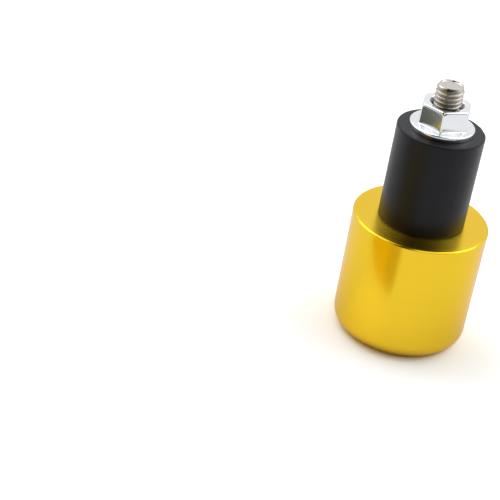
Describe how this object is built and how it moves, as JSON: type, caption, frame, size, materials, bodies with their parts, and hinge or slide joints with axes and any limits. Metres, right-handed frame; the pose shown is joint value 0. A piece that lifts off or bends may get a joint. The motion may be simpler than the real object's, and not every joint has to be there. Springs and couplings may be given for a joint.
{
  "type": "bar end weight",
  "caption": "Turned bar end weight with a dished mouth, a cap screw through it, a rubber expansion sleeve and a flange nut that draws in to grip inside a handlebar tube.",
  "frame": {"origin": "centre of the mouth rim's flat, on which the weight stands", "axes": "+Z along the screw, from the mouth to the nut; the nut's hexagon has corners on the Y axis"},
  "size_m": [0.03, 0.03, 0.0602],
  "materials": {
    "gold_anodised": "satin anodised in gold, bare where the hub was turned afterwards",
    "nickel_plate": "bright nickel plate",
    "black_rubber": "matte moulded",
    "bright_zinc": "bright zinc plate"
  },
  "bodies": {
    "weight": {"barrel": "gold_anodised", "rubber_sleeve": "black_rubber"},
    "bolt": {"cap_screw": "nickel_plate"},
    "nut": {"flange_nut": "bright_zinc"}
  },
  "joints": [
    {"name": "screw_turn", "type": "hinge", "parent": "weight", "child": "bolt", "pos_m": [0, 0, 0.01025], "axis": [0, 0, 1], "range_deg": [0, 1080]},
    {"name": "nut_draw", "type": "slide", "parent": "weight", "child": "nut", "axis": [0, 0, -1], "range_m": [0, 0.003], "deforming": ["rubber_sleeve"]}
  ],
  "couplings": [
    {"joint": "nut_draw", "follows": "screw_turn", "m_per_rad": 0.00015915}
  ]
}
